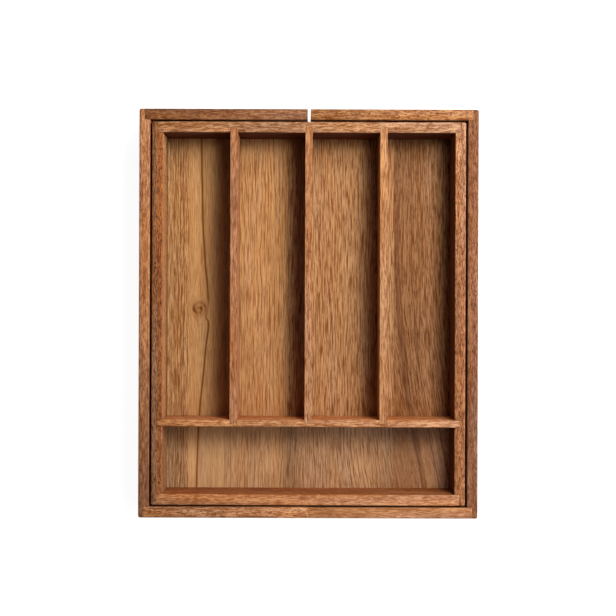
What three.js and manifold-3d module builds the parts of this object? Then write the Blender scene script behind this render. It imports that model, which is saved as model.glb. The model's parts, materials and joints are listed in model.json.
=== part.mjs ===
// Adjustable cutlery tray, made of oiled hardwood boards.
// A centre tray with four long compartments and one across the front stands over the floors of two
// wings. The wings frame the centre tray when the tray is closed, and slide out to its left and right
// to open a sixth and a seventh compartment.
// Units are millimetres and +Z is up. The front faces -Y, and the wings slide along X. The origin is on
// the surface that the tray stands on, at the middle of the closed tray.

import * as THREE from "three";
import { mergeVertices } from "three/addons/utils/BufferGeometryUtils.js";
import Module from "manifold-3d";

const wasm = await Module();
wasm.setup();

// Outside of the closed tray
const closedWidth = 332;
const trayLength = 400;
const trayHeight = 60;
const cornerRadius = 2; // of the upright outer corners of the wings
const arris = 1; // radius that every long edge is eased to

// Wings
const wingWall = 10.5; // thickness of a side wall and of the rails
const wingFloorThickness = 4;
const wingFloorRise = 2; // from the surface up to the underside of a wing's floor
const wingFloorSetback = 6; // how far a floor's free edge stops short of the tray's middle
const frontSeam = 0.4; // between the two front rails when the tray is closed
const backSeam = 2.8; // the back rails are cut shorter and leave a slit

// Centre tray
const runningGap = 2; // all round, between the centre tray and the wings
const centreWall = 10.5;
const centreFloorThickness = 5;
const centreFloorRise = 3; // from the bottom edge of the walls up to the floor's underside
const centreCornerRadius = 1.5;
const dividerThickness = 7;
const crossDividerThickness = 7;
const frontCompartment = 66; // clear length, front to back
const longCompartments = 4; // side by side behind the cross divider

// Glued joints
const tongueShare = 0.5; // share of a side wall that runs on past its rabbet, over the end grain
const housingShare = 0.5; // share of a board's thickness that another board is let into it
const glueLine = 0.15;

// Runners, glued into the rails near their free ends, and the stopped grooves that they slide in
const runnerLength = 30;
const runnerHeight = 6;
const runnerSeat = 3; // depth of the pocket in the rail
const runnerRise = 30; // from the surface to the middle of a runner
const runnerSetback = 4; // from the tray's middle to a runner's inner end
const runnerClearance = 0.3;
const grooveWeb = 1.5; // wood left between a groove and the dividers' housings
const grooveEndWood = 4; // wood left beyond a groove's end, where the runner stops

// Making
const overrun = 5; // how far a cut passes the wood that it cuts
const cornerSteps = 5;
const arrisSteps = 4;
const weldTolerance = 0.0001;

// Colours of the boards
const wingColour = 0xaa7248;
const wingFloorColour = 0xa87650;
const centreColour = 0xb5804f;
const dividerColour = 0xc58b5c;
const centreFloorColour = 0xb27f56;
const runnerColour = 0x9a6a42;
const oiledRoughness = 0.5;

// Sizes that follow
const centreWidth = closedWidth - 2 * (wingWall + runningGap);
const centreLength = trayLength - 2 * (wingWall + runningGap);
const centreBottom = wingFloorRise + wingFloorThickness + runnerClearance;
const centreHeight = trayHeight - centreBottom;
const centreFloorTop = centreFloorRise + centreFloorThickness;
const innerWidth = centreWidth - 2 * centreWall;
const innerLength = centreLength - 2 * centreWall;
const crossFront = frontCompartment - innerLength / 2;
const crossBack = crossFront + crossDividerThickness;
const housing = centreWall * housingShare;
const dividerPitch = (innerWidth + dividerThickness) / longCompartments;
const grooveDepth = centreWall - housing - grooveWeb;
const grooveEnd = centreWidth / 2 - centreWall * tongueShare - grooveEndWood;

// A closed geometry as a solid that can be cut and joined.
function solidOf(geometry) {
  const bare = new THREE.BufferGeometry();
  bare.setAttribute("position", geometry.getAttribute("position"));
  bare.setIndex(geometry.getIndex());
  const welded = mergeVertices(bare, weldTolerance);
  return new wasm.Manifold(
    new wasm.Mesh({
      numProp: 3,
      vertProperties: new Float32Array(welded.getAttribute("position").array),
      triVerts: new Uint32Array(welded.getIndex().array),
    }),
  );
}

// A squared block between two values along each axis.
function block([x0, x1], [y0, y1], [z0, z1]) {
  const geometry = new THREE.BoxGeometry(x1 - x0, y1 - y0, z1 - z0);
  geometry.translate((x0 + x1) / 2, (y0 + y1) / 2, (z0 + z1) / 2);
  return solidOf(geometry);
}

// A span widened at both ends by one amount.
function grown([from, to], amount) {
  return [from - amount, to + amount];
}

// The span between two distances from the middle, on the left (side -1) or the right (side 1).
function outward(side, near, far) {
  return side > 0 ? [near, far] : [-far, -near];
}

// A span of one width about a centre.
function about(centre, width) {
  return [centre - width / 2, centre + width / 2];
}

// A rectangle with rounded corners, centred, as an outline or as a hole.
function roundedRectangle(path, width, length, radius) {
  const x = width / 2 - radius;
  const y = length / 2 - radius;
  const corners = [
    [x, y],
    [-x, y],
    [-x, -y],
    [x, -y],
  ];
  corners.forEach(([cx, cy], quarter) => {
    const start = (quarter * Math.PI) / 2;
    path.absarc(cx, cy, radius, start, start + Math.PI / 2);
  });
  return path.closePath();
}

// A glued-up frame of four walls in one piece, sanded after glueing: its upright outer corners are
// rounded and all its long edges are eased. The boards are then cut from it along their joints.
function sandedFrame(width, length, height, wall, radius) {
  const outline = roundedRectangle(new THREE.Shape(), width, length, radius);
  const x = width / 2 - wall;
  const y = length / 2 - wall;
  const opening = new THREE.Path();
  opening.moveTo(x, y);
  opening.lineTo(x, -y);
  opening.lineTo(-x, -y);
  opening.lineTo(-x, y);
  outline.holes.push(opening.closePath());
  const geometry = new THREE.ExtrudeGeometry(outline, {
    depth: height - 2 * arris,
    bevelThickness: arris,
    bevelSize: arris,
    bevelOffset: -arris,
    bevelSegments: arrisSteps,
    curveSegments: cornerSteps,
  });
  return solidOf(geometry.translate(0, 0, arris));
}

// An upright board that runs along Y, centred on X, with its two top edges eased.
function easedBoard(thickness, [front, back], [bottom, top]) {
  const half = thickness / 2;
  const profile = new THREE.Shape();
  profile.moveTo(-half, bottom);
  profile.lineTo(half, bottom);
  profile.absarc(half - arris, top - arris, arris, 0, Math.PI / 2);
  profile.absarc(arris - half, top - arris, arris, Math.PI / 2, Math.PI);
  const geometry = new THREE.ExtrudeGeometry(profile.closePath(), {
    depth: back - front,
    bevelEnabled: false,
    curveSegments: arrisSteps,
  });
  return solidOf(geometry.rotateX(Math.PI / 2).translate(0, back, 0));
}

// The four boards of a frame. The side walls run the full length, and a rabbet at each end of them takes
// the end of a front or back board, so that half of their thickness covers its end grain.
function frameBoards(frame, width, length, height, wall) {
  const tongue = wall * tongueShare;
  const z = [-overrun, height + overrun];
  const side = (sign) => {
    const board = frame.intersect(block(outward(sign, width / 2 - wall, width), [-length, length], z));
    const rabbet = outward(sign, 0, width / 2 - tongue);
    const shoulder = length / 2 - wall - glueLine;
    return board
      .subtract(block(rabbet, [shoulder, length], z))
      .subtract(block(rabbet, [-length, -shoulder], z));
  };
  const end = (sign) => {
    const reach = width / 2 - tongue - glueLine;
    return frame.intersect(block([-reach, reach], outward(sign, length / 2 - wall, length), z));
  };
  return { left: side(-1), right: side(1), front: end(-1), back: end(1) };
}

// A named mesh of one board in its own oiled colour.
function board(name, solid, colour) {
  const cut = solid.getMesh();
  const geometry = new THREE.BufferGeometry();
  geometry.setAttribute("position", new THREE.BufferAttribute(cut.vertProperties, cut.numProp));
  geometry.setIndex(new THREE.BufferAttribute(cut.triVerts, 1));
  const flat = geometry.toNonIndexed();
  flat.computeVertexNormals();
  const finish = new THREE.MeshStandardMaterial({ color: colour, roughness: oiledRoughness, metalness: 0 });
  const mesh = new THREE.Mesh(flat, finish);
  mesh.name = name;
  return mesh;
}

// The centre tray, in its own group, which stands on z = 0 there.
function centreTray() {
  const frame = sandedFrame(centreWidth, centreLength, centreHeight, centreWall, centreCornerRadius);
  const walls = frameBoards(frame, centreWidth, centreLength, centreHeight, centreWall);
  const floorX = grown([-innerWidth / 2, innerWidth / 2], housing - glueLine);
  const floorY = grown([-innerLength / 2, innerLength / 2], housing - glueLine);
  const floorZ = [centreFloorRise, centreFloorTop];
  const floorGroove = block(grown(floorX, glueLine), grown(floorY, glueLine), grown(floorZ, glueLine));
  const standing = [centreFloorTop + glueLine, centreHeight];
  const housed = [centreFloorTop, centreHeight + overrun];

  // The cross divider is let into both side walls, and the long dividers into it and the back wall.
  const crossReach = innerWidth / 2 + housing - glueLine;
  const cross = easedBoard(crossDividerThickness, [-crossReach, crossReach], standing);
  const crossY = (crossFront + crossBack) / 2;
  const crossSlot = block(
    grown([-crossReach, crossReach], glueLine),
    grown([crossFront, crossBack], glueLine),
    housed,
  );
  const dividerY = [
    crossBack - crossDividerThickness * housingShare + glueLine,
    innerLength / 2 + housing - glueLine,
  ];
  const dividers = [];
  for (let i = 1; i < longCompartments; i += 1) {
    dividers.push(i * dividerPitch - dividerThickness / 2 - innerWidth / 2);
  }
  const dividerSlots = dividers.map((x) =>
    block(about(x, dividerThickness + 2 * glueLine), grown(dividerY, glueLine), housed),
  );

  // Each runner groove is stopped short of both ends of its wall.
  const grooveX = [-grooveEnd, grooveEnd];
  const grooveZ = about(runnerRise - centreBottom, runnerHeight + 2 * runnerClearance);
  const groove = (sign) => {
    const face = centreLength / 2;
    return block(grooveX, outward(sign, face - grooveDepth, face + overrun), grooveZ);
  };

  const turned = cross.rotate([0, 0, -90]).translate([0, crossY, 0]);
  const cutAll = (solid, cuts) => cuts.reduce((rest, cut) => rest.subtract(cut), solid);
  const parts = new THREE.Group();
  parts.add(
    board("centre_left_wall", cutAll(walls.left, [floorGroove, crossSlot]), centreColour),
    board("centre_right_wall", cutAll(walls.right, [floorGroove, crossSlot]), centreColour),
    board("centre_front_wall", cutAll(walls.front, [floorGroove, groove(-1)]), centreColour),
    board("centre_back_wall", cutAll(walls.back, [floorGroove, groove(1), ...dividerSlots]), centreColour),
    board("centre_floor", block(floorX, floorY, floorZ), centreFloorColour),
    board("cross_divider", cutAll(turned, dividerSlots), dividerColour),
  );
  const divider = easedBoard(dividerThickness, dividerY, standing);
  dividers.forEach((x, i) => {
    const mesh = board("long_divider_" + (i + 1), divider, dividerColour);
    mesh.position.x = x;
    parts.add(mesh);
  });
  parts.position.z = centreBottom;
  return parts;
}

// One wing: a side wall, a front and a back rail, a floor grooved into all three, and two runners.
function wing(side, name) {
  const frame = sandedFrame(closedWidth, trayLength, trayHeight, wingWall, cornerRadius);
  const walls = frameBoards(frame, closedWidth, trayLength, trayHeight, wingWall);
  const full = [-overrun, trayHeight + overrun];
  const letIn = wingWall * housingShare - glueLine;
  const floorX = outward(side, wingFloorSetback, closedWidth / 2 - wingWall + letIn);
  const floorY = grown([wingWall - trayLength / 2, trayLength / 2 - wingWall], letIn);
  const floorZ = [wingFloorRise, wingFloorRise + wingFloorThickness];
  const floorGroove = block(grown(floorX, glueLine), grown(floorY, glueLine), grown(floorZ, glueLine));
  const runnerX = outward(side, runnerSetback, runnerSetback + runnerLength);
  const runnerZ = about(runnerRise, runnerHeight);

  const parts = new THREE.Group();
  const sideWall = side > 0 ? walls.right : walls.left;
  parts.add(
    board(name + "_side_wall", sideWall.subtract(floorGroove), wingColour),
    board(name + "_floor", block(floorX, floorY, floorZ), wingFloorColour),
  );
  const ends = [
    { label: "_front", sign: -1, seam: frontSeam, wall: walls.front },
    { label: "_back", sign: 1, seam: backSeam, wall: walls.back },
  ];
  for (const { label, sign, seam, wall } of ends) {
    const ownHalf = block(outward(side, seam / 2, closedWidth), [-trayLength, trayLength], full);
    const face = trayLength / 2 - wingWall;
    const grooveFloor = centreLength / 2 - grooveDepth + runnerClearance;
    const runnerY = outward(sign, grooveFloor, face + runnerSeat - glueLine);
    const pocketY = outward(sign, face - overrun, face + runnerSeat);
    const pocket = block(grown(runnerX, glueLine), pocketY, grown(runnerZ, glueLine));
    const rail = wall.intersect(ownHalf).subtract(floorGroove).subtract(pocket);
    parts.add(
      board(name + label + "_rail", rail, wingColour),
      board(name + label + "_runner", block(runnerX, runnerY, runnerZ), runnerColour),
    );
  }
  return parts;
}

const tray = new THREE.Group();
tray.add(centreTray(), wing(-1, "left_wing"), wing(1, "right_wing"));

export default tray;
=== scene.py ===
import json
import math

import bmesh
import bpy
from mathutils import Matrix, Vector


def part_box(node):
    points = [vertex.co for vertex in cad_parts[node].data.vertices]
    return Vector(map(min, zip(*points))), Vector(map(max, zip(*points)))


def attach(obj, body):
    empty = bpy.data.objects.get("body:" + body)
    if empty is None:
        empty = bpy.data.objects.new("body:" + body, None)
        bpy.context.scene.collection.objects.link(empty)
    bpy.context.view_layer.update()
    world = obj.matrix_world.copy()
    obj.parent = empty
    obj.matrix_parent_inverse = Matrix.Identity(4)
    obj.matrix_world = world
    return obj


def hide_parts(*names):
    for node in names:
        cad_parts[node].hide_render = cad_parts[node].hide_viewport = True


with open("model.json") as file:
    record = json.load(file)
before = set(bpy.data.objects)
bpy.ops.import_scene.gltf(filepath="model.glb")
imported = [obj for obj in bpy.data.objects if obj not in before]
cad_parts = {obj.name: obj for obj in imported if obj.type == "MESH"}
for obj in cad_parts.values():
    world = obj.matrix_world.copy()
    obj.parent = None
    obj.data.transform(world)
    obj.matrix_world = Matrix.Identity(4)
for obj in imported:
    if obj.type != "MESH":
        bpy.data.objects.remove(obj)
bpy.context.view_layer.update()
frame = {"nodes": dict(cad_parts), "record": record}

MM = 0.001


# Camera
# The tray was photographed from straight above, a little over a metre up, with a medium long lens.
# The camera is turned by a fifth of a degree, because the tray lay that much askew in the picture.
CAMERA_HEIGHT = 1217 * MM
CAMERA_OFFSET = (-0.5 * MM, 5.5 * MM)
CAMERA_TURN = math.radians(0.21)
LENS_MM = 69.2
SENSOR_MM = 36
NEAREST = 0.05
FARTHEST = 20

eye = bpy.data.cameras.new("camera")
eye.lens = LENS_MM
eye.sensor_width = SENSOR_MM
eye.clip_start = NEAREST
eye.clip_end = FARTHEST
camera = bpy.data.objects.new("camera", eye)
camera.location = (*CAMERA_OFFSET, CAMERA_HEIGHT)
camera.rotation_euler = (0, 0, CAMERA_TURN)
bpy.context.scene.collection.objects.link(camera)
bpy.context.scene.camera = camera
bpy.context.scene.view_settings.view_transform = "Standard"


# Studio
# A softbox stands high behind the tray's right side, a weaker one further back, a low one beside the tray
# and two faint ones in front and on the left. They leave deep soft shadows along the right and back of
# each compartment. The floor is a white board.
SKY_LEVEL = 0.045
FLOOR_SIDE = 16.0
FLOOR_TONE = 0.8
FLOOR_GLOW = 0.93
FLOOR_SHADOW_SHARE = 0.3
# Each lamp gives its place and size in metres, its watts, and whether it leaves a sheen on the oiled wood.
LAMPS = [
    ("key softbox", (0.435, 0.395, 1.02), (0.40, 0.50), 11.9, False),
    ("side softbox", (1.05, 0.04, 0.62), (0.45, 0.30), 11.0, True),
    ("front softbox", (0.42, -0.36, 1.02), (0.40, 0.40), 1.6, False),
    ("back softbox", (0.36, 0.84, 0.98), (0.45, 0.35), 4.0, False),
    ("left softbox", (-1.05, -0.35, 0.50), (0.60, 0.40), 1.3, False),
]


def softbox(name, place, size, watts, glossy):
    """A rectangular lamp that faces the middle of the tray."""
    lamp = bpy.data.lights.new(name, "AREA")
    lamp.shape = "RECTANGLE"
    lamp.size, lamp.size_y = size
    lamp.energy = watts
    stand = bpy.data.objects.new(name, lamp)
    stand.location = place
    stand.rotation_euler = (-Vector(place)).to_track_quat("-Z", "Y").to_euler()
    stand.visible_glossy = glossy
    bpy.context.scene.collection.objects.link(stand)


def add(tree, kind, inputs=None, **settings):
    """Adds a node, sets its options, and links or sets its inputs by name or number."""
    made = tree.nodes.new(kind)
    for key, value in settings.items():
        setattr(made, key, value)
    for key, value in (inputs or {}).items():
        if isinstance(value, bpy.types.NodeSocket):
            tree.links.new(value, made.inputs[key])
        else:
            made.inputs[key].default_value = value
    return made


def grey(level):
    return (level, level, level, 1)


for lamp in LAMPS:
    softbox(*lamp)

world = bpy.data.worlds.new("studio")
world.use_nodes = True
bpy.context.scene.world = world
sky = world.node_tree
sky.nodes.clear()
seen = add(sky, "ShaderNodeLightPath").outputs["Is Camera Ray"]
dim = add(sky, "ShaderNodeBackground", {"Color": grey(1), "Strength": SKY_LEVEL})
bright = add(sky, "ShaderNodeBackground", {"Color": grey(1), "Strength": 1})
either = add(sky, "ShaderNodeMixShader", {0: seen, 1: dim.outputs[0], 2: bright.outputs[0]})
add(sky, "ShaderNodeOutputWorld", {"Surface": either.outputs[0]})


def floor_material():
    """White board: it shows white to the camera apart from a little of the tray's shadow."""
    made = bpy.data.materials.new("white board")
    made.use_nodes = True
    tree = made.node_tree
    tree.nodes.clear()
    seen = add(tree, "ShaderNodeLightPath").outputs["Is Camera Ray"]
    board = add(tree, "ShaderNodeBsdfDiffuse", {"Color": grey(FLOOR_TONE)})
    faint = add(tree, "ShaderNodeBsdfDiffuse", {"Color": grey(FLOOR_SHADOW_SHARE)})
    glow = add(tree, "ShaderNodeEmission", {"Color": grey(1), "Strength": FLOOR_GLOW})
    shown = add(tree, "ShaderNodeAddShader", {0: faint.outputs[0], 1: glow.outputs[0]})
    either = add(tree, "ShaderNodeMixShader", {0: seen, 1: board.outputs[0], 2: shown.outputs[0]})
    add(tree, "ShaderNodeOutputMaterial", {"Surface": either.outputs[0]})
    return made


half = FLOOR_SIDE / 2
floor_mesh = bpy.data.meshes.new("floor")
floor_mesh.from_pydata([(-half, -half, 0), (half, -half, 0), (half, half, 0), (-half, half, 0)], [],
                       [(0, 1, 2, 3)])
floor = bpy.data.objects.new("floor", floor_mesh)
floor_mesh.materials.append(floor_material())
bpy.context.scene.collection.objects.link(floor)


# Oiled hardwood
# All the boards are one straight-grained tropical hardwood with open pores, planed and oiled. This
# group draws it in a space whose Z runs along the grain, so each board gives its own way up.
STREAK_WIDTH = 1.1 * MM
PORE_WIDTH = 0.9 * MM
PORE_SHARE_OF_LENGTH = 0.4
RINGS_IN_CROWD = 4
RING_SWAY = 5
RING_TILT = 0.6
# A cell is how wide a feature is across the grain and how long along it.
BEND_CELL = (110 * MM, 310 * MM)
PATCH_CELL = (17 * MM, 110 * MM)
HUE_CELL = (11 * MM, 140 * MM)
# Levels are where in its noise a feature starts and is full, and what it goes from and to, if not 0 and 1.
PATCH_LEVELS = (0.32, 0.68, -0.5, 0.5)
FIGURE_LEVELS = (0.38, 0.64)
RING_LEVELS = (0.55, 0.95)
RING_BREAK_LEVELS = (0.35, 0.55, 0.45, 1)
STREAK_LEVELS = (0.46, 0.61)
PALE_GRAIN_AND_GLINT_LEVELS = (0.38, 0.51, 0.75, 0)
PORE_LEVELS = (0.53, 0.64)
HUE_LEVELS = (0.36, 0.64)
HUE_SHIFT = (0.3, 0.7, 0.2)
WARM = (1.04, 0.94, 0.72)
COOL = (0.96, 1.02, 1.12)
PORE_FACTORS = (0.50, 0.44, 0.40)
SATIN = (0.46, 0.54)
PORE_ROUGHNESS = 0.2
STREAK_RELIEF = -0.3


def times(tree, vector, factors):
    return add(tree, "ShaderNodeVectorMath", {0: vector, 1: factors}, operation="MULTIPLY").outputs[0]


def shifted(tree, vector, offset):
    return add(tree, "ShaderNodeVectorMath", {0: vector, 1: offset}).outputs[0]


def noise(tree, vector, detail=2.0, roughness=0.5):
    made = add(tree, "ShaderNodeTexNoise", {"Vector": vector, "Scale": 1, "Detail": detail,
                                            "Roughness": roughness})
    return made.outputs["Fac"]


def calc(tree, operation, *values):
    inputs = dict(enumerate(values))
    return add(tree, "ShaderNodeMath", inputs, operation=operation).outputs[0]


def cells(tree, vector, width, length):
    """The vector counted in cells of one width across the grain and one length along it."""
    across = calc(tree, "DIVIDE", 1, width)
    scale = add(tree, "ShaderNodeCombineXYZ", {0: across, 1: across, 2: calc(tree, "DIVIDE", 1, length)})
    return times(tree, vector, scale.outputs[0])


def ramp(tree, value, low, high, to_low=0.0, to_high=1.0):
    """The value stretched from one range to another and held at its ends."""
    made = add(tree, "ShaderNodeMapRange", {"Value": value, "From Min": low, "From Max": high,
                                            "To Min": to_low, "To Max": to_high},
               interpolation_type="SMOOTHSTEP")
    return made.outputs["Result"]


def blend(tree, share, first, second):
    made = add(tree, "ShaderNodeMix", {0: share, 6: first, 7: second}, data_type="RGBA")
    return made.outputs[2]


def hardwood_group():
    tree = bpy.data.node_groups.new("oiled hardwood", "ShaderNodeTree")
    sockets = tree.interface
    sockets.new_socket("Vector", in_out="INPUT", socket_type="NodeSocketVector")
    for name in ("Pale", "Mid", "Dark"):
        sockets.new_socket(name, in_out="INPUT", socket_type="NodeSocketColor")
    for name in ("Waviness", "Patches", "Figure Width", "Figure Length", "Figure", "Ring Width",
                 "Ring Length", "Rings", "Streak Length", "Raggedness", "Streaks", "Pores", "Hue Drift"):
        sockets.new_socket(name, in_out="INPUT", socket_type="NodeSocketFloat")
    sockets.new_socket("Color", in_out="OUTPUT", socket_type="NodeSocketColor")
    for name in ("Roughness", "Height"):
        sockets.new_socket(name, in_out="OUTPUT", socket_type="NodeSocketFloat")
    given = add(tree, "NodeGroupInput").outputs

    # The fibres wander a few millimetres from side to side along the board.
    sway = calc(tree, "SUBTRACT", noise(tree, cells(tree, given["Vector"], *BEND_CELL)), 0.5)
    sway_shift = add(tree, "ShaderNodeCombineXYZ", {0: calc(tree, "MULTIPLY", sway, given["Waviness"])})
    fibre = shifted(tree, given["Vector"], sway_shift.outputs[0])

    # Broad patches and a figure of dark bands lie under fine streaks. The pale fine lines beside the dark
    # streaks are partly pale grain and partly painted glints.
    patch_noise = ramp(tree, noise(tree, cells(tree, fibre, *PATCH_CELL)), *PATCH_LEVELS)
    patches = calc(tree, "MULTIPLY_ADD", patch_noise, given["Patches"], 0.5)
    figure_cells = cells(tree, fibre, given["Figure Width"], given["Figure Length"])
    figure = ramp(tree, noise(tree, figure_cells, detail=3, roughness=0.6), *FIGURE_LEVELS)
    streak_cells = cells(tree, fibre, STREAK_WIDTH, given["Streak Length"])
    streak_noise = noise(tree, streak_cells, detail=3, roughness=given["Raggedness"])
    streaks = ramp(tree, streak_noise, *STREAK_LEVELS)
    pale_grain_and_glints = ramp(tree, streak_noise, *PALE_GRAIN_AND_GLINT_LEVELS)

    # Single rings meander over them, now close and now wide apart, and break up along the streaks.
    spot = add(tree, "ShaderNodeSeparateXYZ", {0: fibre}).outputs
    tilted = calc(tree, "MULTIPLY_ADD", spot[1], RING_TILT, spot[0])
    crowd_width = calc(tree, "MULTIPLY", given["Ring Width"], RINGS_IN_CROWD)
    crowd_cells = cells(tree, fibre, crowd_width, given["Ring Length"])
    crowding = noise(tree, crowd_cells, detail=3, roughness=0.55)
    ring_count = calc(tree, "DIVIDE", tilted, given["Ring Width"])
    turns = calc(tree, "MULTIPLY_ADD", crowding, RING_SWAY, ring_count)
    ring_wave = calc(tree, "SINE", calc(tree, "MULTIPLY", turns, 2 * math.pi))
    ring_line = calc(tree, "MULTIPLY", ramp(tree, ring_wave, *RING_LEVELS),
                     ramp(tree, streak_noise, *RING_BREAK_LEVELS))
    rings = calc(tree, "MULTIPLY", ring_line, given["Rings"])

    # Open pores are short dark dashes, and the hue drifts from warm to cool.
    pore_length = calc(tree, "MULTIPLY", given["Streak Length"], PORE_SHARE_OF_LENGTH)
    pore_noise = noise(tree, cells(tree, fibre, PORE_WIDTH, pore_length), detail=2, roughness=0.6)
    pore_share = calc(tree, "MULTIPLY", ramp(tree, pore_noise, *PORE_LEVELS), given["Pores"])
    hue_noise = noise(tree, cells(tree, shifted(tree, fibre, HUE_SHIFT), *HUE_CELL))
    hue = ramp(tree, hue_noise, *HUE_LEVELS)
    hue_swing = calc(tree, "MULTIPLY", calc(tree, "SUBTRACT", hue, 0.5), given["Hue Drift"])
    hue_share = calc(tree, "ADD", hue_swing, 0.5)

    ground = blend(tree, patches, given["Mid"], given["Pale"])
    figured = blend(tree, calc(tree, "MULTIPLY", figure, given["Figure"]), ground, given["Dark"])
    ringed = blend(tree, rings, figured, given["Dark"])
    streaked = blend(tree, calc(tree, "MULTIPLY", streaks, given["Streaks"]), ringed, given["Dark"])
    # Pale grain and painted glints along the streaks.
    glint_painted = blend(tree, calc(tree, "MULTIPLY", pale_grain_and_glints, given["Streaks"]), streaked, given["Pale"])
    drifting = blend(tree, hue_share, times(tree, glint_painted, COOL), times(tree, glint_painted, WARM))
    colour = blend(tree, pore_share, drifting, times(tree, given["Dark"], PORE_FACTORS))
    satin = ramp(tree, streaks, 0, 1, *SATIN)
    rough = calc(tree, "ADD", satin, calc(tree, "MULTIPLY", pore_share, PORE_ROUGHNESS))
    height = calc(tree, "SUBTRACT", calc(tree, "MULTIPLY", streaks, STREAK_RELIEF), pore_share)
    add(tree, "NodeGroupOutput", {"Color": colour, "Roughness": rough, "Height": height})
    return tree


HARDWOOD = hardwood_group()
GRAIN_AXES = {"X": (1, 2, 0), "Y": (0, 2, 1)}
LOG_STEP = (0.37, 0.59, 1.31)
PALE_FACTORS = (1.15, 1.21, 1.31)
DARK_FACTORS = (0.70, 0.54, 0.34)
SPECULAR = 0.5
RELIEF = 0.1 * MM
FACE_SKIN = 0.02 * MM


def tone(colour, factors=(1, 1, 1)):
    """A colour given as it looks on screen, 0 to 255 each, for a socket that takes light."""
    levels = [min(255, value * factor) / 255 for value, factor in zip(colour, factors)]
    light = [v / 12.92 if v <= 0.04045 else ((v + 0.055) / 1.055) ** 2.4 for v in levels]
    return (*light, 1)


def tinted(tree, share, colour, factors):
    """The colour, times the factors as far as the share says."""
    return blend(tree, share, colour, times(tree, colour, factors))


def new_material(name):
    """A new material with its tree, its shader, and the place of the point on the piece."""
    made = bpy.data.materials.new(name)
    made.use_nodes = True
    tree = made.node_tree
    shader = tree.nodes["Principled BSDF"]
    shader.inputs["Specular IOR Level"].default_value = SPECULAR
    place = add(tree, "ShaderNodeTexCoord").outputs["Object"]
    return made, tree, shader, place


def along_grain(tree, place, grain, seed):
    """The place turned so that its Z runs along the grain, moved to a part of the log of its own."""
    parts = add(tree, "ShaderNodeSeparateXYZ", {0: place}).outputs
    order = GRAIN_AXES[grain]
    turned = add(tree, "ShaderNodeCombineXYZ", {i: parts[order[i]] for i in range(3)}).outputs[0]
    return shifted(tree, turned, [step * seed for step in LOG_STEP])


def wood_finish(tree, shader, vector, pale, mid, dark, waviness=5, patches=1, figure_width=4,
                figure_length=50, figure=0.5, ring_width=5, ring_length=60 * MM, rings=0.3,
                streak_length=8, raggedness=0.75, streaks=0.85, pores=0.5, hue=0.8, bump=0.5):
    """Puts the oiled hardwood on a shader. Colours and shares may be values or sockets. Waviness, widths
    and lengths are in millimetres, apart from the ring length, in metres because it may be a socket."""
    wood = add(tree, "ShaderNodeGroup", {
        "Vector": vector, "Pale": pale, "Mid": mid, "Dark": dark, "Waviness": waviness * MM,
        "Patches": patches, "Figure Width": figure_width * MM, "Figure Length": figure_length * MM,
        "Figure": figure, "Ring Width": ring_width * MM, "Ring Length": ring_length, "Rings": rings,
        "Streak Length": streak_length * MM, "Raggedness": raggedness, "Streaks": streaks,
        "Pores": pores, "Hue Drift": hue}, node_tree=HARDWOOD)
    tree.links.new(wood.outputs["Color"], shader.inputs["Base Color"])
    tree.links.new(wood.outputs["Roughness"], shader.inputs["Roughness"])
    relief = add(tree, "ShaderNodeBump", {"Strength": bump, "Distance": RELIEF,
                                          "Height": wood.outputs["Height"]})
    tree.links.new(relief.outputs[0], shader.inputs["Normal"])
    return wood


def board_material(name, grain, seed, colour, faces=(), fades=(), **looks):
    """One board's finish, from its colour on screen, the way its grain runs, and its place in the log.
    A fade along the board gives its axis, its start, its end, and the factors at its end. A face of
    another tone, or of painted light or shade, gives its axis, its side, how far out it starts, its
    factors, how rough it is at least, and the two Y between which it sets in, if it doesn't take the whole
    length."""
    made, tree, shader, place = new_material(name)
    vector = along_grain(tree, place, grain, seed)
    wood = wood_finish(tree, shader, vector, tone(colour, PALE_FACTORS), tone(colour),
                       tone(colour, DARK_FACTORS), **looks)
    shown = wood.outputs["Color"]
    rough = wood.outputs["Roughness"]
    parts = add(tree, "ShaderNodeSeparateXYZ", {0: place}).outputs
    for axis, start, end, factors in fades:
        shown = tinted(tree, ramp(tree, parts[axis], start, end), shown, factors)
    for axis, side, far, factors, roughest, *from_to in faces:
        out = calc(tree, "MULTIPLY", parts[axis], side)
        on_face = calc(tree, "GREATER_THAN", out, far - FACE_SKIN)
        if from_to:
            on_face = calc(tree, "MULTIPLY", on_face, ramp(tree, parts[1], *from_to))
        shown = tinted(tree, on_face, shown, factors)
        rough = calc(tree, "MAXIMUM", rough, calc(tree, "MULTIPLY", on_face, roughest))
    tree.links.new(shown, shader.inputs["Base Color"])
    tree.links.new(rough, shader.inputs["Roughness"])
    return made


# Boards
# Every board was planed, glued up and then sanded, so its sharp edges are broken by a fraction of a
# millimetre. A finished board is the CAD board with those edges taken off, in place of its node.
SANDED = 0.25 * MM
SANDED_STEPS = 2
SAME_CORNER = 0.01 * MM
SEAM_REACH = 0.3 * MM
SHARP = math.radians(35)
FLAT = math.radians(0.5)


def body_of_node(node):
    for body, nodes in frame["record"]["behaviour"]["bodies"].items():
        if node in nodes:
            return body


def plain(shape):
    """Turns what an object's modifiers make into its own smooth mesh and removes the modifiers."""
    bpy.context.view_layer.update()
    drawn = shape.evaluated_get(bpy.context.evaluated_depsgraph_get())
    mesh = bpy.data.meshes.new_from_object(drawn)
    shape.modifiers.clear()
    shape.data = mesh
    mesh.shade_smooth()
    mesh.set_sharp_from_angle(angle=SHARP)


def stand_in(piece, material, slot_name, *nodes):
    """Gives a finished piece its material and its body, in place of its CAD nodes. The slot name is not
    used.
    """
    piece.data.materials.clear()
    piece.data.materials.append(material)
    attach(piece, body_of_node(nodes[0]))
    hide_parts(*nodes)


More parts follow.
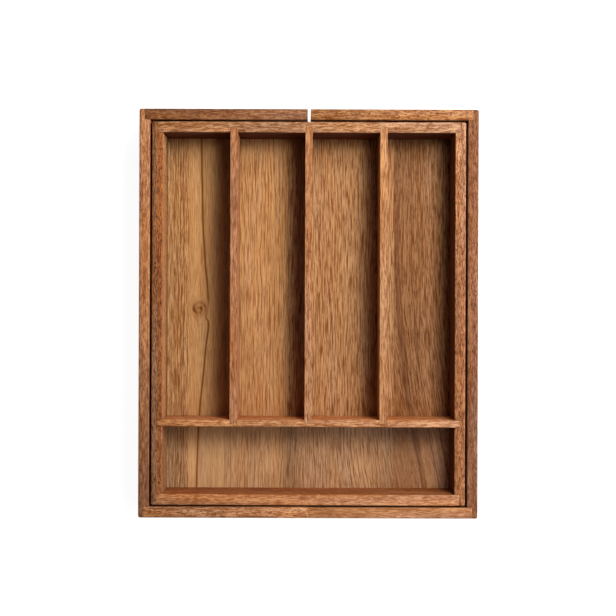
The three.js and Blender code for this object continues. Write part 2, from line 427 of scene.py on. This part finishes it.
def finished_board(node, material, slot_name, seam=None):
    """The board of a node. A seam is the X its end is brought up to, where it meets the next board."""
    board = bmesh.new()
    board.from_mesh(frame["nodes"][node].data)
    bmesh.ops.remove_doubles(board, verts=board.verts, dist=SAME_CORNER)
    bmesh.ops.dissolve_limit(board, angle_limit=FLAT, verts=board.verts, edges=board.edges)
    if seam is not None:
        for corner in board.verts:
            if abs(corner.co.x - seam) < SEAM_REACH:
                corner.co.x = seam
    mesh = bpy.data.meshes.new(node + "_board")
    board.to_mesh(mesh)
    board.free()
    piece = bpy.data.objects.new(node + "_board", mesh)
    bpy.context.scene.collection.objects.link(piece)
    sanding = piece.modifiers.new("sanding", "BEVEL")
    sanding.width = SANDED
    sanding.segments = SANDED_STEPS
    sanding.limit_method = "ANGLE"
    sanding.angle_limit = SHARP
    plain(piece)
    stand_in(piece, material, slot_name, node)


# Centre tray walls
# Four 10.5 mm boards of one warm brown, rabbeted together at the corners. The left one is the darkest and
# the front one the palest. Their inner faces were never polished. The left inner face is painted lighter as
# painted light, less so in front of the cross divider, the right and back inner faces are darkened as
# painted shade, and the front inner face is darker and redder.
INNER_SIDE = 143 * MM
INNER_END = 177 * MM
WALL_FIGURE = 0.6
UNPOLISHED = 0.9
RUSTY_FROM = -147.6 * MM
RUSTY_HALF = (1.133, 0.826, 0.52)
# Painted light on the left inner face, weaker in front of the cross divider; painted shade on the right and
# back inner faces.
LEFT_FACE_PAINTED_LIGHT = (1.6, 2.4, 3.4)
LEFT_FACE_FRONT_PAINTED_SHADE = (0.70, 0.66, 0.62)
LEFT_FACE_SHADE_Y = (-106 * MM, -112 * MM)
RIGHT_FACE_PAINTED_SHADE = (0.38, 0.22, 0.08)
RIGHT_FADE = (1, 30 * MM, 180 * MM, (1.40, 1.60, 1.80))
BACK_FACE_PAINTED_SHADE = (0.30, 0.12, 0.04)
FRONT_FACE = (0.82, 0.62, 0.42)
# Node, grain, place in the log, colour on screen, streaks, pores, faces of another tone or of painted light
# and shade, and fades.
CENTRE_WALLS = [
    ("centre_left_wall", "Y", 1, (139, 95, 62), 0.95, 1.0,
     [(0, 1, RUSTY_FROM, RUSTY_HALF, 0),
      (0, 1, -INNER_SIDE, LEFT_FACE_PAINTED_LIGHT, UNPOLISHED),
      (0, 1, -INNER_SIDE, LEFT_FACE_FRONT_PAINTED_SHADE, 0, *LEFT_FACE_SHADE_Y)], []),
    ("centre_right_wall", "Y", 2, (154, 103, 68), 0.95, 1.0,
     [(0, -1, -INNER_SIDE, RIGHT_FACE_PAINTED_SHADE, UNPOLISHED)], [RIGHT_FADE]),
    ("centre_back_wall", "X", 3, (170, 123, 86), 0.9, 0.7,
     [(1, -1, -INNER_END, BACK_FACE_PAINTED_SHADE, UNPOLISHED)], []),
    ("centre_front_wall", "X", 4, (183, 126, 84), 0.75, 0.4,
     [(1, 1, -INNER_END, FRONT_FACE, UNPOLISHED)], []),
]
for node, grain, seed, colour, streaks, pores, faces, fades in CENTRE_WALLS:
    material = board_material(node, grain, seed, colour, faces=faces, fades=fades, figure=WALL_FIGURE,
                              streaks=streaks, pores=pores)
    finished_board(node, material, "centre_board")


# Centre floor
# One 5 mm panel under all the compartments, glued up from five staves side by side and let into the walls.
# The second stave has a small knot with a dark resin line that swings round it, and the grain of the last
# two curves to the right towards the front.
STAVE_SEAMS = (-122.5 * MM, -84.8 * MM, -22.9 * MM, 86.4 * MM)
STAVE_TONES = [(187, 140, 92), (183, 135, 86), (185, 135, 87), (172, 125, 82), (143, 98, 61)]
STAVE_SEEDS = (0.11, 0.29, 0.47, 0.66, 0.83)
SEED_REACH = 7
STAVE_FIGURE = (0.20, 0.20, 0.12, 0.06, 0.30)
STAVE_RINGS = (0.15, 0.15, 0.72, 0.95, 0.55)
STAVE_RING_LENGTHS = (150, 60, 200, 120, 200)
RING_WIDTH = 3.6
STAVE_STREAKS = (0.85, 0.40, 0.60, 0.80, 0.95)
FRONT_STREAKS = (0.95, 0.70, 0.85, 0.75, 0.40)
STREAK_LENGTH = 21
RAGGEDNESS = 0.66
STAVE_PORES = (0.4, 0.1, 0.15, 0.30, 0.50)
SEAM_WIDTH = 0.9 * MM
SEAM_STRENGTH = 0.35
SEAM_TONE = (96, 58, 32)
# A curve gives the Y it starts at and how sharply it bends.
FOURTH_CURVE = (-60 * MM, 0.7)
FOURTH_CURVE_X = (0, 70 * MM)
FIFTH_CURVE = (90 * MM, 0.42)
# The coarse band along the first stave's right side.
COARSE_FROM = -137.5 * MM
COARSE_TO = -123.5 * MM
COARSE_FADE = 3 * MM
COARSE_PITCH = 3.1 * MM
COARSE_SWAY = 2.2
COARSE_CELL = (13 * MM, 90 * MM)
COARSE_LEVELS = (0.1, 0.95)
COARSE_DASH_CELL = (1.6 * MM, 16 * MM)
COARSE_DASH_LEVELS = (0.38, 0.58, 0.2, 1)
# Sides of staves in another tone, and the first stave's painted light: the X or Y between which each sets
# in, and its factors.
SECOND_LEFT = (-114 * MM, -107 * MM)
SECOND_PALE = (1.10, 1.09, 1.08)
# The first stave's narrow pale strip at the foot of the left wall is painted light over the shade in that
# corner.
FIRST_PAINTED_LIGHT_X = (-142.3 * MM, -140.9 * MM)
FIRST_PAINTED_LIGHT = (1.20, 1.24, 1.27)
FIFTH_RIGHT = (111 * MM, 119 * MM)
FIFTH_PALE = (1.26, 1.30, 1.38)
FIFTH_BACK = (40 * MM, 160 * MM)
FIFTH_BACK_PALE = (1.04, 1.10, 1.18)
FOURTH_RIGHT = (66 * MM, 77 * MM)
FOURTH_DARK = (0.89, 0.865, 0.85)
# The resin line, as the Y and X it passes, in millimetres.
RESIN_PATH = [(180, -109.2), (146, -108.7), (118, -108.1), (90, -107.4), (66, -105.9), (50, -105),
              (27, -102.7), (10, -101.8), (2, -102.6), (-4, -104.2), (-9, -101.6), (-32, -103.8),
              (-64, -106.7), (-103, -110.5), (-135, -111.9), (-165, -112.9)]
RESIN_WIDTH = 3.4 * MM
RESIN_STRENGTH = 0.95
RESIN_BREAK = 0.9
RESIN_TONE = (108, 56, 18)
# Late growth in the last two staves: the X and width of each line in millimetres, and its strength.
LATE_LINES = [(88.9, 8.5, 0.42), (87.7, 2.0, 0.85), (91.4, 1.8, 0.7), (103.8, 2.0, 0.75),
              (115.8, 2.2, 0.6), (127, 2.2, 0.45)]
LATE_CELL = (9 * MM, 32 * MM)
LATE_SWAY = 2.5 * MM
LATE_FADE = (40 * MM, 130 * MM, 1, 0.4)
FOURTH_LINE = (38.2 * MM, 1.6 * MM)
FOURTH_LINE_FADE = (-125 * MM, -105 * MM, 0.6, 0)
LATE_TONE = (88, 48, 22)
# The knot: where it is, how the grain parts round it, and the turns and strokes of its swirl.
KNOT = (-111.4 * MM, 4.3 * MM)
KNOT_PARTING = (11 * MM, 22 * MM)
KNOT_PARTING_SHARE = 0.8
KNOT_REACH = 7.4 * MM
KNOT_ROUND = 1.1
KNOT_TURN = 5 * MM
KNOT_LEAN = math.radians(-30)
KNOT_RAGGED = (420, 420, 420)
KNOT_WOBBLE = 5 * MM
STROKE_LEVELS = (0.6, -0.45)
STROKE_SHARES = (0.35, 0.65)
SWIRL_FADE = (0.75 * KNOT_REACH, 1.25 * KNOT_REACH, 0.95, 0)
SWIRL_TONE = (104, 54, 20)
HALO_FADE = (0.6 * KNOT_REACH, 1.6 * KNOT_REACH, 0.5, 0)
HALO_TONE = (156, 98, 48)
# The front of the panel, in front of the cross divider.
FRONT_Y = (-108 * MM, -104 * MM)
FRONT_TINT = (1.46, 1.54, 1.78)
FRONT_LIGHT = (0.67, 0.71, 0.61, 0.575, 0.87)
FRONT_LEFT = (-143 * MM, -118 * MM)
FRONT_LEFT_TINT = (0.72, 0.75, 0.80)
# Painted light over the right wall's shade at the right end of the front.
FRONT_RIGHT_LIGHT_X = (120 * MM, 138 * MM)
FRONT_RIGHT_PAINTED_LIGHT = (1.50, 1.62, 1.80)
FRONT_BAND = (-20 * MM, 34 * MM)
FRONT_BAND_TINT = (0.74, 0.72, 0.68)

floor_low, floor_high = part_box("centre_floor")
floor_width = floor_high.x - floor_low.x
floor_length = floor_high.y - floor_low.y


def by_stave(tree, x, values):
    """A grey or a colour that changes from stave to stave."""
    share = calc(tree, "DIVIDE", calc(tree, "SUBTRACT", x, floor_low.x), floor_width)
    made = add(tree, "ShaderNodeValToRGB", {0: share})
    steps = made.color_ramp
    steps.interpolation = "CONSTANT"
    for seam in STAVE_SEAMS:
        steps.elements.new((seam - floor_low.x) / floor_width)
    steps.elements[-1].position = 1
    for step, value in zip(steps.elements, [*values, values[-1]]):
        step.color = value if isinstance(value, tuple) else grey(value)
    return made.outputs["Color"]


def line_mask(tree, x, centre, width):
    """One on a line at the given X, fading to zero half a width away."""
    away = calc(tree, "ABSOLUTE", calc(tree, "SUBTRACT", x, centre))
    return ramp(tree, away, 0, width / 2, 1, 0)


def bell(tree, value, centre, width):
    """One at the centre, falling off on both sides over the width."""
    scaled = calc(tree, "DIVIDE", calc(tree, "SUBTRACT", value, centre), width)
    squared = calc(tree, "MULTIPLY", scaled, scaled)
    return calc(tree, "POWER", math.e, calc(tree, "MULTIPLY", squared, -1))


def curve(tree, y, start, bend):
    """How far the grain has moved to the right at Y, from its start towards the front."""
    reach = calc(tree, "MAXIMUM", calc(tree, "SUBTRACT", start, y), 0)
    return calc(tree, "MULTIPLY", calc(tree, "POWER", reach, 2), bend)


def grain_x(tree, x, y, in_fifth):
    """The X of the grain, which parts round the knot and curves in the last two staves."""
    across, along = KNOT_PARTING
    near = calc(tree, "MULTIPLY", bell(tree, x, KNOT[0], across), bell(tree, y, KNOT[1], along))
    share = calc(tree, "MULTIPLY", near, KNOT_PARTING_SHARE)
    parting = calc(tree, "MULTIPLY", share, calc(tree, "SUBTRACT", x, KNOT[0]))
    start, bend = FOURTH_CURVE
    fourth = curve(tree, y, start, ramp(tree, x, *FOURTH_CURVE_X, 0, bend))
    fifth = curve(tree, y, *FIFTH_CURVE)
    drift = add(tree, "ShaderNodeMix", {0: in_fifth, 2: fourth, 3: fifth}).outputs[0]
    return calc(tree, "SUBTRACT", calc(tree, "SUBTRACT", x, parting), drift)


def coarse_band(tree, x, vector):
    """One on the close, broken lines of the first stave's coarse band."""
    sway_noise = noise(tree, cells(tree, vector, *COARSE_CELL), detail=2, roughness=0.6)
    sway = calc(tree, "MULTIPLY", sway_noise, COARSE_SWAY)
    turns = calc(tree, "ADD", calc(tree, "DIVIDE", x, COARSE_PITCH), sway)
    wave = calc(tree, "SINE", calc(tree, "MULTIPLY", turns, 2 * math.pi))
    dash_noise = noise(tree, cells(tree, vector, *COARSE_DASH_CELL), detail=2, roughness=0.6)
    lines = calc(tree, "MULTIPLY", ramp(tree, wave, *COARSE_LEVELS),
                 ramp(tree, dash_noise, *COARSE_DASH_LEVELS))
    inside = calc(tree, "MULTIPLY", ramp(tree, x, COARSE_FROM, COARSE_FROM + COARSE_FADE),
                  ramp(tree, x, COARSE_TO - COARSE_FADE, COARSE_TO, 1, 0))
    return calc(tree, "MULTIPLY", lines, inside)


def toned_sides(tree, x, y, in_fifth, in_front, colour):
    """The second and fifth stave are paler along a side, the first is painted lighter along the foot of the
    left wall as painted light, and behind the cross divider the fourth is darker at its right edge."""
    in_second = calc(tree, "GREATER_THAN", x, STAVE_SEAMS[0])
    second_left = calc(tree, "MULTIPLY", in_second, ramp(tree, x, *SECOND_LEFT, 1, 0))
    # Painted light along the foot of the left wall.
    first_painted_light = ramp(tree, x, *FIRST_PAINTED_LIGHT_X, 1, 0)
    fifth_right = calc(tree, "MULTIPLY", in_fifth, ramp(tree, x, *FIFTH_RIGHT))
    fifth_back = calc(tree, "MULTIPLY", in_fifth, ramp(tree, y, *FIFTH_BACK))
    before_fifth = calc(tree, "SUBTRACT", 1, in_fifth)
    behind = calc(tree, "MULTIPLY", before_fifth, calc(tree, "SUBTRACT", 1, in_front))
    fourth_right = calc(tree, "MULTIPLY", behind, ramp(tree, x, *FOURTH_RIGHT))
    for share, factors in ((second_left, SECOND_PALE), (first_painted_light, FIRST_PAINTED_LIGHT), (fifth_right, FIFTH_PALE),
                           (fifth_back, FIFTH_BACK_PALE), (fourth_right, FOURTH_DARK)):
        colour = tinted(tree, share, colour, factors)
    return colour


def resin_line(tree, x, y):
    """One on the resin line, which follows its path down the second stave and fades at the knot."""
    stave_width = STAVE_SEAMS[1] - STAVE_SEAMS[0]
    spots = [((along * MM - floor_low.y) / floor_length, (across * MM - STAVE_SEAMS[0]) / stave_width)
             for along, across in RESIN_PATH]
    share = calc(tree, "DIVIDE", calc(tree, "SUBTRACT", y, floor_low.y), floor_length)
    path = add(tree, "ShaderNodeFloatCurve", {"Value": share})
    drawn = path.mapping.curves[0]
    drawn.points[-1].location = spots[0]
    drawn.points[0].location = spots[-1]
    for spot in spots[1:-1]:
        drawn.points.new(*spot)
    path.mapping.update()
    resin_x = calc(tree, "MULTIPLY_ADD", path.outputs[0], stave_width, STAVE_SEAMS[0])
    line = line_mask(tree, calc(tree, "SUBTRACT", x, resin_x), 0, RESIN_WIDTH)
    fading = calc(tree, "MULTIPLY", bell(tree, y, KNOT[1], KNOT_REACH), RESIN_BREAK)
    return calc(tree, "MULTIPLY", line, calc(tree, "SUBTRACT", 1, fading))


def late_growth(tree, curved, y, vector, in_fifth):
    """One on the dark single lines of the fifth stave, and on the fourth stave's one at the front."""
    line_noise = noise(tree, cells(tree, vector, *LATE_CELL), detail=1)
    wandering = calc(tree, "MULTIPLY_ADD", calc(tree, "SUBTRACT", line_noise, 0.5), LATE_SWAY, curved)
    fifth = 0
    for centre, width, strength in LATE_LINES:
        line = line_mask(tree, wandering, centre * MM, width * MM)
        fifth = calc(tree, "MAXIMUM", fifth, calc(tree, "MULTIPLY", line, strength))
    shown = calc(tree, "MULTIPLY", in_fifth, ramp(tree, y, *LATE_FADE))
    fourth = calc(tree, "MULTIPLY", line_mask(tree, curved, *FOURTH_LINE), ramp(tree, y, *FOURTH_LINE_FADE))
    return calc(tree, "MAXIMUM", calc(tree, "MULTIPLY", fifth, shown), fourth)


def knot(tree, place, x, y, colour):
    """A brown halo with a swirl of short dark strokes."""
    across = calc(tree, "SUBTRACT", x, KNOT[0])
    along = calc(tree, "DIVIDE", calc(tree, "SUBTRACT", y, KNOT[1]), KNOT_ROUND)
    squares = calc(tree, "ADD", calc(tree, "POWER", across, 2), calc(tree, "POWER", along, 2))
    ragged_noise = noise(tree, times(tree, place, KNOT_RAGGED), detail=3, roughness=0.65)
    ragged = calc(tree, "SUBTRACT", ragged_noise, 0.5)
    radius = calc(tree, "MULTIPLY_ADD", ragged, KNOT_WOBBLE, calc(tree, "SQRT", squares))
    bearing = calc(tree, "ARCTAN2", along, across)
    turns = calc(tree, "MULTIPLY_ADD", radius, 2 * math.pi / KNOT_TURN, bearing)
    strokes = ramp(tree, calc(tree, "COSINE", turns), *STROKE_LEVELS)
    sides = calc(tree, "COSINE", calc(tree, "MULTIPLY_ADD", bearing, 2, KNOT_LEAN))
    strokes = calc(tree, "MULTIPLY", strokes, calc(tree, "MULTIPLY_ADD", sides, *STROKE_SHARES))
    swirl = calc(tree, "MULTIPLY", strokes, ramp(tree, radius, *SWIRL_FADE))
    browned = blend(tree, ramp(tree, radius, *HALO_FADE), colour, tone(HALO_TONE))
    return blend(tree, swirl, browned, tone(SWIRL_TONE))


def front_part(tree, x, colour):
    """The front of the panel is greyer and darker towards the left wall, with its right end painted lighter
    as painted light over the right wall's shade, and a band in another tone.
    """
    front = times(tree, times(tree, colour, FRONT_TINT), by_stave(tree, x, FRONT_LIGHT))
    front = tinted(tree, ramp(tree, x, *FRONT_LEFT, 1, 0), front, FRONT_LEFT_TINT)
    # Painted light at the right end.
    front = tinted(tree, ramp(tree, x, *FRONT_RIGHT_LIGHT_X), front, FRONT_RIGHT_PAINTED_LIGHT)
    return tinted(tree, line_mask(tree, x, *FRONT_BAND), front, FRONT_BAND_TINT)


def floor_panel_material():
    made, tree, shader, place = new_material("centre floor panel")
    x, y, z = add(tree, "ShaderNodeSeparateXYZ", {0: place}).outputs
    in_fifth = calc(tree, "GREATER_THAN", x, STAVE_SEAMS[3])
    in_front = ramp(tree, y, *FRONT_Y, 1, 0)

    curved = grain_x(tree, x, y, in_fifth)
    seed = calc(tree, "MULTIPLY", by_stave(tree, x, STAVE_SEEDS), SEED_REACH)
    log_place = add(tree, "ShaderNodeCombineXYZ", {0: calc(tree, "ADD", curved, seed), 1: z,
                                                   2: calc(tree, "ADD", y, seed)})
    vector = log_place.outputs[0]
    pale, mid, dark = [by_stave(tree, x, [tone(stave, factors) for stave in STAVE_TONES])
                       for factors in (PALE_FACTORS, (1, 1, 1), DARK_FACTORS)]
    calmer = add(tree, "ShaderNodeMix", {0: in_front, 2: 1, 3: by_stave(tree, x, FRONT_STREAKS)}).outputs[0]
    longest = max(STAVE_RING_LENGTHS)
    ring_shares = by_stave(tree, x, [length / longest for length in STAVE_RING_LENGTHS])
    wood = wood_finish(tree, shader, vector, pale, mid, dark, waviness=7, patches=0.5, figure_width=4.5,
                       figure_length=220, figure=by_stave(tree, x, STAVE_FIGURE), ring_width=RING_WIDTH,
                       ring_length=calc(tree, "MULTIPLY", ring_shares, longest * MM),
                       rings=calc(tree, "MULTIPLY", by_stave(tree, x, STAVE_RINGS), calmer),
                       streak_length=STREAK_LENGTH, raggedness=RAGGEDNESS,
                       streaks=calc(tree, "MULTIPLY", by_stave(tree, x, STAVE_STREAKS), calmer),
                       pores=by_stave(tree, x, STAVE_PORES), hue=0.35)

    colour = blend(tree, coarse_band(tree, x, vector), wood.outputs["Color"], dark)
    colour = toned_sides(tree, x, y, in_fifth, in_front, colour)
    resin = calc(tree, "MULTIPLY", resin_line(tree, x, y), RESIN_STRENGTH)
    colour = blend(tree, resin, colour, tone(RESIN_TONE))
    colour = blend(tree, late_growth(tree, curved, y, vector, in_fifth), colour, tone(LATE_TONE))
    colour = knot(tree, place, x, y, colour)
    colour = blend(tree, in_front, colour, front_part(tree, x, colour))
    seams = 0
    for seam in STAVE_SEAMS:
        seams = calc(tree, "MAXIMUM", seams, line_mask(tree, x, seam, SEAM_WIDTH))
    colour = blend(tree, calc(tree, "MULTIPLY", seams, SEAM_STRENGTH), colour, tone(SEAM_TONE))
    tree.links.new(colour, shader.inputs["Base Color"])
    return made


finished_board("centre_floor", floor_panel_material(), "floor_board")


# Cross divider
# A 7 mm board across the tray that closes off the front compartment. Its ends are let into both side
# walls, and its unpolished back face is painted a little paler than its top, as painted light.
CROSS_TONE = (179, 125, 83)
# The back face's paler tone is painted light.
CROSS_BACK_PAINTED_LIGHT = (1, 1, -104 * MM, (1.5, 1.35, 1.2), UNPOLISHED)
cross_material = board_material("cross_divider", "X", seed=6, colour=CROSS_TONE, faces=[CROSS_BACK_PAINTED_LIGHT],
                                figure=0.55)
finished_board("cross_divider", cross_material, "divider_board")


# Long dividers
# Three like 7 mm boards, a pitch apart, their ends let into the cross divider and the back wall and
# their top edges eased. They are a little paler from left to right.
DIVIDER_NODES = ["long_divider_1", "long_divider_2", "long_divider_3"]
DIVIDER_TONES = [(167, 112, 74), (169, 115, 74), (172, 120, 77)]
DIVIDER_SEED = 7
BETWEEN_LEFT = (-40 * MM, -30 * MM)
BETWEEN_RIGHT = (30 * MM, 40 * MM)
EASING = 1 * MM
EASING_STEPS = 4


def strips_tree():
    """Like strips side by side: a profile with eased top edges, swept along Y and repeated."""
    tree = bpy.data.node_groups.new("planed strips", "GeometryNodeTree")
    sockets = tree.interface
    sockets.new_socket("Geometry", in_out="INPUT", socket_type="NodeSocketGeometry")
    for name in ("Thickness", "Height", "Length", "Easing", "Turn"):
        sockets.new_socket(name, in_out="INPUT", socket_type="NodeSocketFloat")
    sockets.new_socket("Count", in_out="INPUT", socket_type="NodeSocketInt")
    for name in ("First", "Step"):
        sockets.new_socket(name, in_out="INPUT", socket_type="NodeSocketVector")
    sockets.new_socket("Material", in_out="INPUT", socket_type="NodeSocketMaterial")
    sockets.new_socket("Geometry", in_out="OUTPUT", socket_type="NodeSocketGeometry")
    given = add(tree, "NodeGroupInput").outputs
    section = add(tree, "GeometryNodeCurvePrimitiveQuadrilateral", {"Width": given["Thickness"],
                                                                    "Height": given["Height"]})
    place = add(tree, "ShaderNodeSeparateXYZ", {0: add(tree, "GeometryNodeInputPosition").outputs[0]})
    at_top = calc(tree, "GREATER_THAN", place.outputs[1], 0)
    radius = calc(tree, "MULTIPLY", at_top, given["Easing"])
    eased = add(tree, "GeometryNodeFilletCurve", {"Curve": section.outputs[0], "Radius": radius,
                                                  "Count": EASING_STEPS}, mode="POLY")
    reach = add(tree, "ShaderNodeCombineXYZ", {1: given["Length"]})
    line = add(tree, "GeometryNodeCurvePrimitiveLine", {"End": reach.outputs[0]})
    swept = add(tree, "GeometryNodeCurveToMesh", {"Curve": line.outputs[0], "Fill Caps": True,
                                                  "Profile Curve": eased.outputs[0]})
    turn = add(tree, "ShaderNodeCombineXYZ", {2: given["Turn"]})
    turned = add(tree, "GeometryNodeTransform", {"Geometry": swept.outputs[0], "Rotation": turn.outputs[0]})
    row = add(tree, "GeometryNodeMeshLine", {"Count": given["Count"], "Start Location": given["First"],
                                             "Offset": given["Step"]})
    repeated = add(tree, "GeometryNodeInstanceOnPoints", {"Points": row.outputs[0],
                                                          "Instance": turned.outputs[0]})
    solid = add(tree, "GeometryNodeRealizeInstances", {"Geometry": repeated.outputs[0]})
    dressed = add(tree, "GeometryNodeSetMaterial", {"Geometry": solid.outputs[0],
                                                    "Material": given["Material"]})
    add(tree, "NodeGroupOutput", {"Geometry": dressed.outputs[0]})
    return tree


STRIPS = strips_tree()


def strips(name, material, slot_name, nodes, **sizes):
    """Like strips in place of their nodes, of the sizes that the tree's inputs name."""
    piece = bpy.data.objects.new(name, bpy.data.meshes.new(name))
    bpy.context.scene.collection.objects.link(piece)
    rule = piece.modifiers.new("strips", "NODES")
    rule.node_group = STRIPS
    wanted = {**sizes, "Count": len(nodes), "Material": material}
    for socket in STRIPS.interface.items_tree:
        if socket.in_out == "INPUT" and socket.name in wanted:
            rule[socket.identifier] = wanted[socket.name]
    plain(piece)
    stand_in(piece, material, slot_name, *nodes)


def divider_material():
    made, tree, shader, place = new_material("long dividers")
    x = add(tree, "ShaderNodeSeparateXYZ", {0: place}).outputs[0]
    on_right = ramp(tree, x, *BETWEEN_RIGHT)
    on_left = ramp(tree, x, *BETWEEN_LEFT, 1, 0)
    colours = []
    for factors in (PALE_FACTORS, (1, 1, 1), DARK_FACTORS):
        left, middle, right = [tone(divider, factors) for divider in DIVIDER_TONES]
        colours.append(blend(tree, on_left, blend(tree, on_right, middle, right), left))
    wood_finish(tree, shader, along_grain(tree, place, "Y", DIVIDER_SEED), *colours, figure=0.35,
                figure_width=3, streak_length=14)
    return made


first_low, first_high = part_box(DIVIDER_NODES[0])
last_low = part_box(DIVIDER_NODES[-1])[0]
pitch = (last_low.x - first_low.x) / (len(DIVIDER_NODES) - 1)
strips("long_dividers", divider_material(), "divider_board", DIVIDER_NODES,
       Thickness=first_high.x - first_low.x, Height=first_high.z - first_low.z,
       Length=first_high.y - first_low.y, Easing=EASING, Turn=0.0,
       First=((first_low.x + first_high.x) / 2, first_low.y, (first_low.z + first_high.z) / 2),
       Step=(pitch, 0, 0))


# Wings
# The outer frame is two U-shaped wings of 10.5 mm boards, redder than the centre tray. Their rails
# meet in the middle at the front, and leave a narrow slit at the back.
LEFT_SIDE_FADE = (1, 190 * MM, -190 * MM, (0.57, 0.56, 0.62))
# Node, grain, place in the log, colour on screen, streaks, pores, and fades.
WING_BOARDS = [
    ("left_wing_side_wall", "Y", 10, (182, 124, 80), 0.85, 0.5, [LEFT_SIDE_FADE]),
    ("left_wing_front_rail", "X", 11, (175, 122, 81), 0.95, 0.9, []),
    ("left_wing_back_rail", "X", 12, (134, 88, 56), 0.9, 0.7, []),
    ("right_wing_side_wall", "Y", 20, (136, 91, 63), 0.9, 0.8, []),
    ("right_wing_front_rail", "X", 21, (174, 122, 84), 0.65, 0.3, []),
    ("right_wing_back_rail", "X", 22, (162, 111, 69), 0.95, 0.9, []),
]
FRONT_SEAMS = {"left_wing_front_rail": -0.01 * MM, "right_wing_front_rail": 0.01 * MM}
for node, grain, seed, colour, streaks, pores, fades in WING_BOARDS:
    material = board_material(node, grain, seed, colour, fades=fades, figure=WALL_FIGURE,
                              streaks=streaks, pores=pores)
    finished_board(node, material, "wing_board", FRONT_SEAMS.get(node))


# Wing floors and runners
# Under the centre tray each wing has a thin floor panel of its own, and a short unoiled strip in each
# rail that runs in a groove of the centre tray and stops the wing before it comes off.
PANEL_TONE = (178, 124, 80)
RUNNER_TONE = (168, 122, 84)
RUNNER_EASING = 0.5 * MM
for side, panel_seed, runner_seed in (("left", 31, 33), ("right", 32, 34)):
    panel = board_material(side + "_wing_floor", "Y", panel_seed, PANEL_TONE, figure_length=160,
                           streak_length=STREAK_LENGTH, raggedness=RAGGEDNESS)
    finished_board(side + "_wing_floor", panel, "floor_board")
    nodes = [side + "_wing_front_runner", side + "_wing_back_runner"]
    low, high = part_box(nodes[0])
    back_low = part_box(nodes[1])[0]
    strip = board_material(side + "_wing_runners", "X", runner_seed, RUNNER_TONE, pores=0.3)
    strips(side + "_wing_runners", strip, "runner_strip", nodes,
           Thickness=high.y - low.y, Height=high.z - low.z, Length=high.x - low.x,
           Easing=RUNNER_EASING, Turn=-math.pi / 2,
           First=(low.x, (low.y + high.y) / 2, (low.z + high.z) / 2), Step=(0, back_low.y - low.y, 0))
